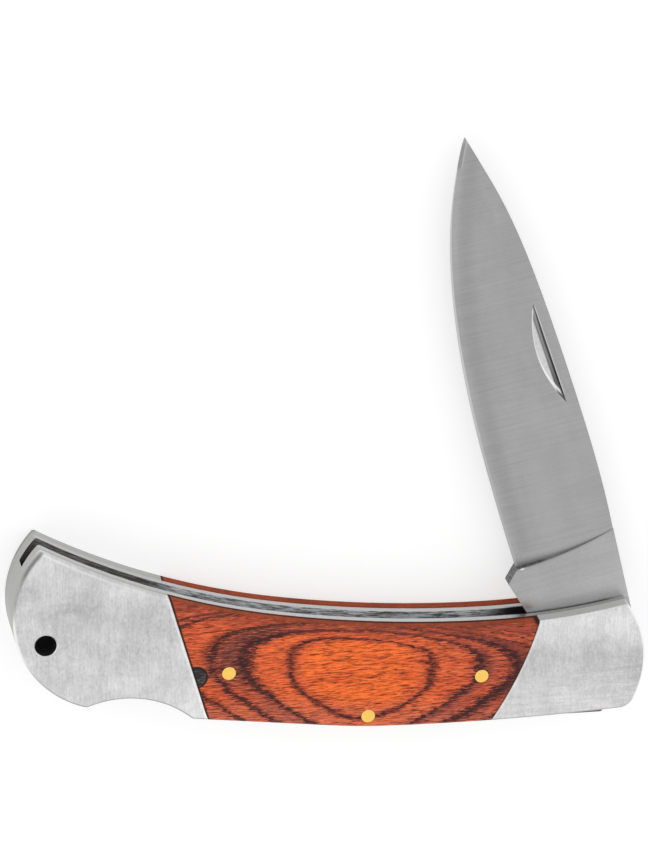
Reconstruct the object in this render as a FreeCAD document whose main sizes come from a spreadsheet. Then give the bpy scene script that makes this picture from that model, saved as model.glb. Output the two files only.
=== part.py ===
import FreeCAD, Part
import math
import os
from types import SimpleNamespace
import Sketcher

# Folding lock-back pocket knife, part-open and lying on its right side, in millimetres.
# The blade turns about the Z axis and the right side rests on Z = 0.
# X points forward, the way the open blade points, and Y points from the back of the
# handle to the slot that the blade folds into.

Vector = FreeCAD.Vector
doc = FreeCAD.newDocument("pocket_knife")

# Sizes

SIZES = {
    "handle_reach": (103.0, "blade pivot to the rear end of the handle"),
    "handle_depth": (20.0, "back to slot edge at the front bolster"),
    "side_thick": (2.7, "a bolster or a scale"),
    "liner_thick": (1.4, "a liner"),
    "slot_width": (3.0, "between the liners"),
    "side_gap": (0.05, "between a liner and the blade or the lock bar"),
    "butt_bulge_depth": (8.5, "rounding of the rear end"),
    "front_bulge_depth": (3.0, "rounding of the front end"),
    "notch_depth": (2.7, "thumb notch in the back"),
    "slot_edge_depth": (0.85, "hollow of the slot edge between the bolsters"),
    "front_seam_depth": (1.35, "bow of the seam behind the front bolster"),
    "corner_radius": (1.3, "corners beside the thumb notch, seen from the side"),
    "slot_corner_radius": (0.5, "corners at the ends of the slot, seen from the side"),
    "nose_radius": (3.0, "lower front corner of the handle"),
    "rim_bevel_width": (0.35, "outer edges of the bolsters and scales"),
    "seam_gap": (0.08, "between a scale and a bolster"),
    "pivot_radius": (1.9, "blade pivot pin"),
    "pin_radius": (1.25, "rocker pin and scale pins"),
    "butt_pin_radius": (1.0, "pins of the butt spacer"),
    "pin_skin_thick": (0.7, "bolster left over the end of a hidden pin"),
    "pin_gap": (0.02, "between a fixed pin and its hole"),
    "running_gap": (0.04, "between a pin and the piece that turns on it"),
    "lanyard_radius": (1.9, "lanyard hole"),
    "lanyard_bevel_width": (0.15, "edge of the lanyard hole"),
    "blade_reach": (99.5, "blade pivot to the tip"),
    "blade_width": (19.5, "spine to edge"),
    "spine_distance": (8.97, "blade pivot to the spine line"),
    "tang_radius": (5.4, "round end of the tang"),
    "shoulder_reach": (3.15, "blade pivot to the end of the spine"),
    "kick_length": (2.3, "kick behind the start of the edge"),
    "kick_height": (2.1, "kick beyond the start of the edge, across the blade"),
    "kick_radius": (0.4, "end of the kick"),
    "choil_reach": (19.8, "blade pivot to the start of the edge"),
    "plunge_lean_length": (2.4, "lean of the grind's rear end towards the tip"),
    "plunge_bow_depth": (0.7, "bow of the grind's rear end"),
    "grind_step_depth": (0.02, "depth of the grind where it meets the spine"),
    "nick_cutter_radius": (75.0, "radius of the round that leaves the nail nick"),
    "nick_width": (3.1, "nail nick"),
    "nick_depth": (0.7, "nail nick"),
    "nick_angle": (5.5, "slope of the nail nick along the spine, in degrees"),
    "blade_angle": (103.1, "blade short of fully open, in degrees"),
    "nose_reach": (2.7, "blade pivot to the front end of the lock bar"),
    "bar_corner_radius": (0.5, "front corner of the lock bar"),
    "tooth_length": (4.2, "tooth of the lock bar"),
    "tooth_draft_width": (0.3, "slope of the tooth's rear face"),
    "tooth_gap": (0.25, "between the tooth and the floor of its notch"),
    "ride_gap": (0.25, "between the tooth and the round tang"),
    "bar_lift_angle": (2.94, "turn of the lock bar while it rides on the tang, in degrees"),
    "spring_thick": (0.9, "lock spring"),
    "spring_bow_depth": (0.8, "lock spring"),
    "spring_gap": (0.55, "between the lock spring and the lock bar, for the bar's stroke"),
    "overrun_length": (5.0, "run of a cut past the solid"),
}

sheet = doc.addObject("Spreadsheet::Sheet", "Sizes")
for row, (name, (number, note)) in enumerate(SIZES.items(), 1):
    sheet.set(f"A{row}", name)
    sheet.set(f"B{row}", str(number))
    sheet.set(f"C{row}", note)
    sheet.setAlias(f"B{row}", name)
doc.recompute()


class Size:
    """A number together with the sheet formula that gives it."""

    def __init__(self, value, text):
        self.value = value
        self.text = text

    def __add__(self, other):
        return Size(self.value + other.value, f"({self.text} + {other.text})")

    def __sub__(self, other):
        return Size(self.value - other.value, f"({self.text} - {other.text})")

    def __mul__(self, other):
        other = as_size(other)
        return Size(self.value * other.value, f"({self.text} * {other.text})")

    def __truediv__(self, other):
        other = as_size(other)
        return Size(self.value / other.value, f"({self.text} / {other.text})")

    def __neg__(self):
        return Size(-self.value, f"(-1 * {self.text})")

    def root(self):
        return Size(math.sqrt(self.value), f"sqrt({self.text})")

    def sine(self):
        return Size(math.sin(math.radians(self.value)), f"sin({self.text})")

    def cosine(self):
        return Size(math.cos(math.radians(self.value)), f"cos({self.text})")

    def slope(self, run):
        angle = math.degrees(math.atan2(self.value, run.value))
        return Size(angle, f"atan2({self.text}; {run.text})")


def as_size(number):
    return number if isinstance(number, Size) else Size(number, repr(number))


size = SimpleNamespace(**{name: Size(entry[0], f"Sizes.{name}") for name, entry in SIZES.items()})
zero = as_size(0)


def on_handle(reach_share, depth_share):
    """A point of the handle's side view, as shares of its reach and depth."""
    return size.handle_reach * reach_share, size.handle_depth * depth_share


def moved(point, along, across):
    return point[0] + along, point[1] + across


# Sketches and features

def new_body(label):
    body = doc.addObject("PartDesign::Body", label)
    body.Label = label
    return body


def new_sketch(body, name, level, plane="XY_Plane"):
    """A sketch on one of the body's own planes, raised to a level."""
    sketch = body.newObject("Sketcher::SketchObject", f"{body.Label}_{name}")
    support = next(item for item in body.Origin.OriginFeatures if item.Role == plane)
    sketch.AttachmentSupport = (support, [""])
    sketch.MapMode = "FlatFace"
    sketch.setExpression("AttachmentOffset.Base.z", level.text)
    return sketch


def hold(sketch, kind, element, end, amount):
    """Ties a coordinate or a radius to the sheet."""
    if end is None:
        rule = Sketcher.Constraint(kind, element, amount.value)
    elif amount.value == 0:
        axis = -1 if kind == "DistanceY" else -2
        sketch.addConstraint(Sketcher.Constraint("PointOnObject", element, end, axis))
        return
    else:
        rule = Sketcher.Constraint(kind, element, end, amount.value)
    index = sketch.addConstraint(rule)
    sketch.setExpression(f"Constraints[{index}]", amount.text)


def draw(sketch, steps):
    """Draws a closed chain of lines and arcs, walked with the solid on the left.

    A step is a point, the bulge of the run that leaves it and whether the chain passes
    the point smoothly. No bulge is a straight line, a size is a held bulge to the right,
    and a share of the run is a first guess that the smooth points settle.
    """
    first = sketch.GeometryCount
    ends = []
    for number, (point, bulge, smooth) in enumerate(steps):
        following = steps[(number + 1) % len(steps)][0]
        start = Vector(point[0].value, point[1].value, 0)
        finish = Vector(following[0].value, following[1].value, 0)
        if bulge is None:
            sketch.addGeometry(Part.LineSegment(start, finish))
            ends.append((1, 2))
            continue
        run = finish - start
        rise = bulge.value if isinstance(bulge, Size) else bulge * run.Length
        radius = (run.Length ** 2 / 4 + rise ** 2) / (2 * rise)
        side = Vector(run.y, -run.x, 0).normalize()
        centre = (start + finish) * 0.5 + side * (rise - radius)
        angles = [math.atan2(tip.y - centre.y, tip.x - centre.x) for tip in (start, finish)]
        ends.append((1, 2) if rise > 0 else (2, 1))
        if rise < 0:
            angles.reverse()
        circle = Part.Circle(centre, Vector(0, 0, 1), abs(radius))
        sketch.addGeometry(Part.ArcOfCircle(circle, *angles))
    for number, (point, bulge, smooth) in enumerate(steps):
        before = (number - 1) % len(steps)
        joint = "Tangent" if smooth else "Coincident"
        link = (first + before, ends[before][1], first + number, ends[number][0])
        sketch.addConstraint(Sketcher.Constraint(joint, *link))
        hold(sketch, "DistanceX", first + number, ends[number][0], point[0])
        hold(sketch, "DistanceY", first + number, ends[number][0], point[1])
        if isinstance(bulge, Size):
            following = steps[(number + 1) % len(steps)][0]
            along = following[0] - point[0]
            across = following[1] - point[1]
            rise = bulge if bulge.value > 0 else -bulge
            radius = (along * along + across * across) / (rise * 8) + rise / 2
            hold(sketch, "Radius", first + number, None, radius)


def corners(*points):
    """Steps of a straight-sided outline."""
    return [(point, None, False) for point in points]


def circles(sketch, places):
    """Draws round holes; a place is a point and a radius."""
    for point, radius in places:
        centre = Vector(point[0].value, point[1].value, 0)
        element = sketch.addGeometry(Part.Circle(centre, Vector(0, 0, 1), radius.value))
        hold(sketch, "DistanceX", element, 3, point[0])
        hold(sketch, "DistanceY", element, 3, point[1])
        hold(sketch, "Radius", element, None, radius)


def pad(sketch, thickness, upward=True):
    body = sketch.getParentGeoFeatureGroup()
    feature = body.newObject("PartDesign::Pad", f"{sketch.Name}_pad")
    feature.Profile = sketch
    feature.Reversed = not upward
    feature.setExpression("Length", thickness.text)
    doc.recompute()
    return feature


def pocket(sketch, depth=None, upward=True):
    """Cuts through the body, or to a depth."""
    body = sketch.getParentGeoFeatureGroup()
    uncut = body.Shape.Volume
    feature = body.newObject("PartDesign::Pocket", f"{sketch.Name}_pocket")
    feature.Profile = sketch
    feature.Reversed = upward
    if depth is None:
        feature.Type = "ThroughAll"
    else:
        feature.setExpression("Length", depth.text)
    doc.recompute()
    if body.Shape.Volume >= uncut:
        raise RuntimeError(f"{feature.Name} removes nothing")
    return feature


def finish_edges(body, name, amount, probes, bevel=False):
    """Rounds or bevels the edges nearest to the probes, and the smooth runs they are part of."""
    tip = body.Tip
    names = []
    for probe in probes:
        vertex = Part.Vertex(*[length.value for length in probe])
        gaps = [edge.distToShape(vertex)[0] for edge in tip.Shape.Edges]
        names.append(f"Edge{gaps.index(min(gaps)) + 1}")
    kind, amount_name = ("Chamfer", "Size") if bevel else ("Fillet", "Radius")
    feature = body.newObject(f"PartDesign::{kind}", f"{body.Label}_{name}")
    feature.Base = (tip, names)
    feature.setExpression(amount_name, amount.text)
    doc.recompute()
    return feature


def pin(label, point, radius, bottom, top):
    cylinder = doc.addObject("Part::Cylinder", label)
    cylinder.Label = label
    cylinder.setExpression("Radius", radius.text)
    cylinder.setExpression("Height", (top - bottom).text)
    cylinder.setExpression("Placement.Base.x", point[0].text)
    cylinder.setExpression("Placement.Base.y", point[1].text)
    cylinder.setExpression("Placement.Base.z", bottom.text)
    return cylinder


# Levels through the thickness

right_inner = size.side_thick
slot_floor = right_inner + size.liner_thick
mid_level = slot_floor + size.slot_width / 2
slot_roof = slot_floor + size.slot_width
left_inner = slot_roof + size.liner_thick
left_outer = left_inner + size.side_thick
moving_thick = size.slot_width - size.side_gap * 2

# Side view of the handle

front_top = on_handle(0.0553, 0.5375)
slot_edge_front = on_handle(-0.1748, 0.4375)
slot_edge_rear = on_handle(-0.5437, 0.644)
rear_top = on_handle(-0.9476, 1.447)
heel = on_handle(-0.8767, -0.0375)
notch_front = on_handle(-0.698, -0.225)
back_bend_rear = on_handle(-0.4563, -0.4025)
back_bend_front = on_handle(-0.3689, -0.4465)
front_low = on_handle(0.0602, -0.4575)

pivot = (zero, zero)
rocker = on_handle(-0.396, -0.335)
front_scale_pin = on_handle(-0.199, -0.04)
rear_scale_pin = on_handle(-0.635, 0.183)
lanyard_hole = on_handle(-0.9437, 0.58)
upper_butt_pin = on_handle(-0.953, 0.97)
lower_butt_pin = on_handle(-0.901, 0.22)

beyond_back = -(size.handle_reach + size.overrun_length)
beyond_front = front_low[0] + size.front_bulge_depth + size.overrun_length
beyond_low = -(size.handle_depth + size.overrun_length)
beyond_high = size.handle_depth * 2 + size.overrun_length


def handle_plate(body, level, thickness, upward=True):
    """A plate with the full side view of the handle."""
    sketch = new_sketch(body, "outline", level)
    draw(sketch, [
        (front_top, -0.03, False),
        (slot_edge_front, -size.slot_edge_depth, True),
        (slot_edge_rear, -0.04, True),
        (rear_top, size.butt_bulge_depth, False),
        (heel, -size.notch_depth, False),
        (notch_front, None, False),
        (back_bend_rear, 0.02, True),
        (back_bend_front, 0.01, True),
        (front_low, size.front_bulge_depth, False),
    ])
    return pad(sketch, thickness, upward)


front_corners = [(front_top, size.slot_corner_radius), (front_low, size.nose_radius)]
rear_corners = [(rear_top, size.slot_corner_radius)]
rear_corners += [(point, size.corner_radius) for point in (heel, notch_front)]


def round_corners(body, places, level):
    for number, (point, radius) in enumerate(places):
        finish_edges(body, f"corner_{number}", radius, [(*point, level)])


# Seams between the scales and the bolsters, drawn past the edges of the handle

SEAMS = {
    "front": (on_handle(-0.0915, 0.575), on_handle(-0.2022, -0.625), size.front_seam_depth),
    "rear": (on_handle(-0.7447, 1.11), on_handle(-0.6631, -0.41), None),
}


def cut_at_seam(body, seam, level, upward, ahead, gap=zero):
    """Removes what lies ahead of a seam or behind it, and a gap with it."""
    top, bottom, bulge = SEAMS[seam]
    shift = -gap if ahead else gap
    top = moved(top, shift, zero)
    bottom = moved(bottom, shift, zero)
    sketch = new_sketch(body, f"{seam}_seam", level)
    if ahead:
        bow = None if bulge is None else -bulge
        steps = [(top, bow, False), (bottom, None, False)]
        steps += corners((beyond_front, beyond_low), (beyond_front, beyond_high))
    else:
        steps = [(bottom, bulge, False), (top, None, False)]
        steps += corners((beyond_back, beyond_high), (beyond_back, beyond_low))
    draw(sketch, steps)
    pocket(sketch, upward=upward)


def drill(body, name, level, upward, places, depth=None):
    sketch = new_sketch(body, name, level)
    circles(sketch, places)
    pocket(sketch, depth, upward)


# Liners

pin_hole = size.pin_radius + size.pin_gap
butt_pin_hole = size.butt_pin_radius + size.pin_gap
pivot_hole = size.pivot_radius + size.pin_gap

fixed_holes = [(lanyard_hole, size.lanyard_radius)]
fixed_holes += [(point, butt_pin_hole) for point in (upper_butt_pin, lower_butt_pin)]
liner_holes = fixed_holes + [(pivot, pivot_hole)]
liner_holes += [(point, pin_hole) for point in (rocker, front_scale_pin, rear_scale_pin)]

for label, level in (("right_liner", right_inner), ("left_liner", slot_roof)):
    body = new_body(label)
    handle_plate(body, level, size.liner_thick)
    round_corners(body, front_corners + rear_corners, level + size.liner_thick / 2)
    drill(body, "holes", level, True, liner_holes)

# Bolsters and scales

blind = size.side_thick - size.pin_skin_thick
front_end = (front_low[0] + size.front_bulge_depth, zero)
butt_end = (-size.handle_reach, (rear_top[1] + heel[1]) / 2)

for side, level, outer, upward in (("right", right_inner, zero, False),
                                   ("left", left_inner, left_outer, True)):
    middle = (level + outer) / 2

    bolster = new_body(f"{side}_front_bolster")
    handle_plate(bolster, level, size.side_thick, upward)
    cut_at_seam(bolster, "front", level, upward, False)
    round_corners(bolster, front_corners, middle)
    drill(bolster, "pivot_bore", level, upward, [(pivot, pivot_hole)], blind)
    finish_edges(bolster, "rim", size.rim_bevel_width, [(*front_end, outer)], bevel=True)

    scale = new_body(f"{side}_scale")
    handle_plate(scale, level, size.side_thick, upward)
    cut_at_seam(scale, "front", level, upward, True, size.seam_gap)
    cut_at_seam(scale, "rear", level, upward, False, size.seam_gap)
    scale_holes = [(point, pin_hole) for point in (rocker, front_scale_pin, rear_scale_pin)]
    finish_edges(scale, "rim", size.rim_bevel_width,
                [(*slot_edge_rear, outer), (*back_bend_front, outer)], bevel=True)
    drill(scale, "holes", level, upward, scale_holes)

    bolster = new_body(f"{side}_rear_bolster")
    handle_plate(bolster, level, size.side_thick, upward)
    cut_at_seam(bolster, "rear", level, upward, True)
    round_corners(bolster, rear_corners, middle)
    drill(bolster, "pin_bores", level, upward, fixed_holes[1:], blind)
    finish_edges(bolster, "rim", size.rim_bevel_width, [(*butt_end, outer)], bevel=True)
    drill(bolster, "lanyard_bore", level, upward, fixed_holes[:1])
    lanyard_rim = moved(lanyard_hole, size.lanyard_radius, zero)
    finish_edges(bolster, "lanyard_bevel", size.lanyard_bevel_width, [(*lanyard_rim, outer)], bevel=True)

# Lock bar's place, turned on the rocker pin so that its tooth rides on the tang

lift_cosine = size.bar_lift_angle.cosine()
lift_sine = size.bar_lift_angle.sine()


def riding(point):
    """Where a point of the locked bar lies while the bar rides on the tang."""
    along = point[0] - rocker[0]
    across = point[1] - rocker[1]
    return (rocker[0] + along * lift_cosine + across * lift_sine,
            rocker[1] - along * lift_sine + across * lift_cosine)


# Lock spring, drawn along its own length from its end in the butt spacer to the lock bar

spring_root = on_handle(-0.898, 0.655)
pressed_place = on_handle(-0.592, -0.088)
spring_tip = moved(riding(pressed_place), zero, size.spring_gap + size.spring_thick / 2)
spring_along = spring_tip[0] - spring_root[0]
spring_across = spring_tip[1] - spring_root[1]
spring_length = (spring_along * spring_along + spring_across * spring_across).root()
spring_slope = spring_across.slope(spring_along)


def draw_spring(sketch, gap):
    half = size.spring_thick / 2 + gap
    draw(sketch, [
        ((-gap, -half), -size.spring_bow_depth, False),
        ((spring_length, -half), None, False),
        ((spring_length, half), size.spring_bow_depth, False),
        ((-gap, half), None, False),
    ])


def turn(item, name, angle, axis=Vector(0, 0, 1)):
    """Turns a body or a sketch by an angle of the sheet."""
    setattr(item, name, FreeCAD.Placement(Vector(), FreeCAD.Rotation(axis, angle.value)))
    item.setExpression(f"{name}.Rotation.Angle", angle.text)


def shift(item, name, **amounts):
    """Moves a body or a sketch by amounts of the sheet."""
    for letter, amount in amounts.items():
        item.setExpression(f"{name}.Base.{letter}", amount.text)


spring = new_body("lock_spring")
spring_sketch = new_sketch(spring, "outline", -moving_thick / 2)
draw_spring(spring_sketch, zero)
pad(spring_sketch, moving_thick)
turn(spring, "Placement", spring_slope)
shift(spring, "Placement", x=spring_root[0], y=spring_root[1], z=mid_level)

# Butt spacer

spacer = new_body("butt_spacer")
handle_plate(spacer, slot_floor, size.slot_width)
round_corners(spacer, rear_corners[:2], mid_level)
spacer_face = new_sketch(spacer, "slot_end", slot_floor)
draw(spacer_face, corners(
    on_handle(-1.0097, 1.4025), on_handle(-0.9466, 1.115), on_handle(-0.8738, 0.88),
    on_handle(-0.835, 0.70), on_handle(-0.835, 0.46), on_handle(-0.8675, 0.39),
    (size.handle_reach * -0.8675, beyond_low), (beyond_front, beyond_low),
    (beyond_front, beyond_high), (size.handle_reach * -1.0097, beyond_high),
))
pocket(spacer_face)
drill(spacer, "holes", slot_floor, True, fixed_holes)
spring_slot = new_sketch(spacer, "spring_slot", slot_floor)
turn(spring_slot, "AttachmentOffset", spring_slope)
shift(spring_slot, "AttachmentOffset", x=spring_root[0], y=spring_root[1], z=slot_floor)
draw_spring(spring_slot, size.pin_gap)
pocket(spring_slot)

# Lock bar, drawn locked and then turned

ride_level = -(size.tang_radius + size.ride_gap)
tooth_tip = rocker[1] + (ride_level - rocker[1] - rocker[0] * lift_sine) / lift_cosine
tooth_rear = size.nose_reach - size.tooth_length
arm_inner = on_handle(-0.262, -0.2875)

bar = new_body("lock_bar")
bar_sketch = new_sketch(bar, "outline", -moving_thick / 2)
bar_end = on_handle(-0.859, -0.056)
draw(bar_sketch, [
    (bar_end, None, False),
    (notch_front, None, False),
    (back_bend_rear, 0.02, True),
    (back_bend_front, 0.01, True),
    (front_low, None, False),
    ((front_low[0], tooth_tip), None, False),
    ((tooth_rear, tooth_tip), None, False),
    ((tooth_rear - size.tooth_draft_width, arm_inner[1]), None, False),
    (arm_inner, None, False),
    (on_handle(-0.33, -0.21), None, False),
    (on_handle(-0.466, -0.175), None, False),
    (on_handle(-0.699, -0.015), None, False),
    (on_handle(-0.859, 0.17), None, False),
])
pad(bar_sketch, moving_thick)
bar_nose = new_sketch(bar, "nose", -moving_thick / 2)
draw(bar_nose, corners(
    (size.nose_reach, beyond_low), (beyond_front, beyond_low),
    (beyond_front, zero), (size.nose_reach, zero)))
pocket(bar_nose)
finish_edges(bar, "corner", size.bar_corner_radius, [(size.nose_reach, front_low[1], zero)])
drill(bar, "rocker_bore", -moving_thick / 2, True, [(rocker, size.pin_radius + size.running_gap)])
bar_origin = riding(pivot)
turn(bar, "Placement", -size.bar_lift_angle)
shift(bar, "Placement", x=bar_origin[0], y=bar_origin[1], z=mid_level)

# Blade, drawn fully open about its mid-plane and then turned to its part-open place

blade = new_body("blade")
blade_floor = -moving_thick / 2
spine = -size.spine_distance
shoulder = (size.shoulder_reach, spine)
plunge_spine = (size.choil_reach + size.plunge_lean_length, spine)
choil = (size.choil_reach, spine + size.blade_width * 0.932)
kick = (choil[0] - size.kick_length, choil[1] + size.kick_height)

# The straight side of the tang runs from the kick to touch the round end
kick_square = kick[0] * kick[0] + kick[1] * kick[1]
tang_square = size.tang_radius * size.tang_radius
towards = tang_square / kick_square
aside = size.tang_radius * (kick_square - tang_square).root() / kick_square
touch = (kick[0] * towards - kick[1] * aside, kick[1] * towards + kick[0] * aside)

ricasso = new_sketch(blade, "ricasso", blade_floor)
draw(ricasso, [
    (shoulder, None, False),
    (plunge_spine, -size.plunge_bow_depth, False),
    (choil, None, False),
    (kick, None, False),
    (touch, None, False),
])
pad(ricasso, moving_thick)
tang = new_sketch(blade, "tang", blade_floor)
circles(tang, [(pivot, size.tang_radius)])
pad(tang, moving_thick)

# Cross-sections of the ground blade: reach, spine and edge above the spine line, thickness
BLADE_SHARES = (
    (0.161, 0.001, 0.922, 1.00),
    (0.241, 0.001, 0.949, 1.00),
    (0.342, 0.009, 0.977, 1.00),
    (0.462, 0.047, 0.997, 0.97),
    (0.583, 0.100, 0.990, 0.92),
    (0.704, 0.166, 0.943, 0.84),
    (0.804, 0.240, 0.863, 0.72),
    (0.884, 0.327, 0.757, 0.54),
    (0.945, 0.417, 0.643, 0.35),
    (0.987, 0.483, 0.549, 0.17),
    (1.000, 0.503, 0.513, 0.07),
)
BEVEL_WIDTH_SHARE = 0.025
BEVEL_THICK_SHARE = 0.11

ground_half = moving_thick / 2 - size.grind_step_depth
sections = []
for number, (reach, spine_share, edge_share, thick_share) in enumerate(BLADE_SHARES):
    sketch = new_sketch(blade, f"section_{number}", size.blade_reach * reach, "YZ_Plane")
    spine_line = spine + size.blade_width * spine_share + size.grind_step_depth
    edge_line = spine + size.blade_width * edge_share
    bevel_line = edge_line - (edge_line - spine_line) * BEVEL_WIDTH_SHARE
    half = ground_half * thick_share
    bevel_half = half * BEVEL_THICK_SHARE
    draw(sketch, corners(
        (spine_line, -half), (bevel_line, -bevel_half), (edge_line, zero),
        (bevel_line, bevel_half), (spine_line, half)))
    sections.append(sketch)
grind = blade.newObject("PartDesign::AdditiveLoft", "blade_grind")
grind.Profile = sections[0]
grind.Sections = sections[1:]
doc.recompute()

# Notch for the tooth of the lock bar, and the pivot hole
notch_floor = tooth_tip + size.tooth_gap
notch_rear = tooth_rear - size.tooth_draft_width - size.tooth_gap
lock_notch = new_sketch(blade, "lock_notch", blade_floor)
draw(lock_notch, corners(
    (notch_rear, beyond_low), (size.shoulder_reach, beyond_low),
    (size.shoulder_reach, notch_floor), (notch_rear, notch_floor)))
pocket(lock_notch)
finish_edges(blade, "kick_end", size.kick_radius, [(*kick, zero)])
drill(blade, "pivot_hole", blade_floor, True, [(pivot, size.pivot_radius + size.running_gap)])

# Nail nick in the left face, left by a wide round cutter with a steep side to the spine
nick_centre = (size.blade_reach * 0.585, spine + size.blade_width * 0.21)
nick_face = moving_thick * 0.42
nick_sketch = new_sketch(blade, "nail_nick", nick_centre[0], "YZ_Plane")
turn(nick_sketch, "AttachmentOffset", size.nick_angle, Vector(0, 1, 0))
shift(nick_sketch, "AttachmentOffset", x=nick_centre[1], z=nick_centre[0])
nick_low = nick_face - size.nick_depth
nick_high = nick_face + size.nick_depth
draw(nick_sketch, corners((zero, nick_low), (size.nick_width * 2, nick_high), (zero, nick_high)))
axis_level = (nick_low + size.nick_cutter_radius).value
axis_line = Part.LineSegment(Vector(0, axis_level, 0), Vector(size.nick_width.value, axis_level, 0))
axis_element = nick_sketch.addGeometry(axis_line, True)
hold(nick_sketch, "DistanceX", axis_element, 1, zero)
hold(nick_sketch, "DistanceY", axis_element, 1, nick_low + size.nick_cutter_radius)
hold(nick_sketch, "DistanceX", axis_element, 2, size.nick_width)
nick_sketch.addConstraint(Sketcher.Constraint("Horizontal", axis_element))
blade_before_nick = blade.Shape.Volume
nick = blade.newObject("PartDesign::Groove", "blade_nail_nick_groove")
nick.Profile = nick_sketch
nick.ReferenceAxis = (nick_sketch, ["Axis0"])
nick.Angle = 360
doc.recompute()
if blade.Shape.Volume >= blade_before_nick:
    raise RuntimeError("the nail nick removes nothing")

turn(blade, "Placement", size.blade_angle)
shift(blade, "Placement", z=mid_level)

# Pins

hidden_low = size.pin_skin_thick
hidden_high = left_outer - size.pin_skin_thick
pin("pivot_pin", pivot, size.pivot_radius, hidden_low, hidden_high)
pin("upper_butt_pin", upper_butt_pin, size.butt_pin_radius, hidden_low, hidden_high)
pin("lower_butt_pin", lower_butt_pin, size.butt_pin_radius, hidden_low, hidden_high)
pin("rocker_pin", rocker, size.pin_radius, zero, left_outer)
pin("right_front_scale_pin", front_scale_pin, size.pin_radius, zero, slot_floor)
pin("right_rear_scale_pin", rear_scale_pin, size.pin_radius, zero, slot_floor)
pin("left_front_scale_pin", front_scale_pin, size.pin_radius, slot_roof, left_outer)
pin("left_rear_scale_pin", rear_scale_pin, size.pin_radius, slot_roof, left_outer)
doc.recompute()

# Check and write

for item in doc.Objects:
    if "Invalid" in item.State or "Error" in item.State:
        raise RuntimeError(f"{item.Label} is {item.State}")

os.makedirs("parts", exist_ok=True)
for item in doc.Objects:
    if item.TypeId not in ("PartDesign::Body", "Part::Cylinder"):
        continue
    if item.Shape.isNull() or not item.Shape.isValid() or len(item.Shape.Solids) != 1:
        raise RuntimeError(f"{item.Label} is not one valid solid")
    item.Shape.exportStep(f"parts/{item.Label}.step")
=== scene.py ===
import math

import bpy
from bpy.props import FloatProperty, FloatVectorProperty, PointerProperty
from mathutils import Matrix, Vector


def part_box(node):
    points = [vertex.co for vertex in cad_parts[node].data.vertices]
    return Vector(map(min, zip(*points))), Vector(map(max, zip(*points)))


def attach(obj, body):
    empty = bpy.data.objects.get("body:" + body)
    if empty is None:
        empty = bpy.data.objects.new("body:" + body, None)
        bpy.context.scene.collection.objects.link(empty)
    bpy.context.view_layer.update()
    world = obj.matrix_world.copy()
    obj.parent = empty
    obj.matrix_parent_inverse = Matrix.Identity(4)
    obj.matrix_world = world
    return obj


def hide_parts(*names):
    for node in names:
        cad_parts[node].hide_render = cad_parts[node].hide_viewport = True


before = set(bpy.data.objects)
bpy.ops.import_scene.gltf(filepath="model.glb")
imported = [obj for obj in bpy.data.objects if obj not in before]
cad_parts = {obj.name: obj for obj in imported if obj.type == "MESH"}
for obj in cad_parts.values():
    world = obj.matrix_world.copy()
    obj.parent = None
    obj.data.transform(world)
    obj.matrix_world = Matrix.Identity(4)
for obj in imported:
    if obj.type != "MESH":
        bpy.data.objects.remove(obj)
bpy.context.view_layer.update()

bl_info = {
    "name": "Folding Pocket Knife Finish",
    "version": (1, 0, 0),
    "blender": (4, 5, 0),
    "location": "View3D > Sidebar > Knife",
    "description": "Gives a lock-back pocket knife its steel, wood and brass, and a stage",
    "category": "Object",
}

MILLIMETRE = 0.001
PER_METRE = 1000.0

# Nodes of the frame by finish

BOLSTERS = ("left_front_bolster", "left_rear_bolster", "right_front_bolster", "right_rear_bolster")
LINERS = ("left_liner", "right_liner")
SCALES = ("left_scale", "right_scale")
LOCK_PIECES = (
    "lock_bar", "lock_spring", "butt_spacer", "pivot_pin", "upper_butt_pin", "lower_butt_pin")
SCALE_PINS = (
    "left_front_scale_pin", "left_rear_scale_pin", "right_front_scale_pin", "right_rear_scale_pin")


def tone(red, green, blue):
    """A linear colour from screen values of 0 to 255."""
    def linear(value):
        share = value / 255
        return share / 12.92 if share <= 0.04045 else ((share + 0.055) / 1.055) ** 2.4
    return linear(red), linear(green), linear(blue)


def grey(value):
    """A linear grey from a screen value of 0 to 255."""
    return tone(value, value, value)


# Shader expressions

class Shade:
    """A socket of a finish; arithmetic on it adds Math nodes."""

    def __init__(self, finish, socket):
        self.finish = finish
        self.socket = socket

    def math(self, operation, *values):
        return self.finish.node("Math", {"operation": operation}, dict(enumerate(values)))

    def __add__(self, other):
        return self.math("ADD", self, other)

    __radd__ = __add__

    def __sub__(self, other):
        return self.math("SUBTRACT", self, other)

    def __rsub__(self, other):
        return self.math("SUBTRACT", other, self)

    def __mul__(self, other):
        return self.math("MULTIPLY", self, other)

    __rmul__ = __mul__

    def __truediv__(self, other):
        return self.math("DIVIDE", self, other)

    def __pow__(self, other):
        return self.math("POWER", self, other)

    def __neg__(self):
        return self.math("MULTIPLY", self, -1.0)

    def __abs__(self):
        return self.math("ABSOLUTE", self)

    def at_least(self, other):
        return self.math("MAXIMUM", self, other)

    def at_most(self, other):
        return self.math("MINIMUM", self, other)


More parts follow.
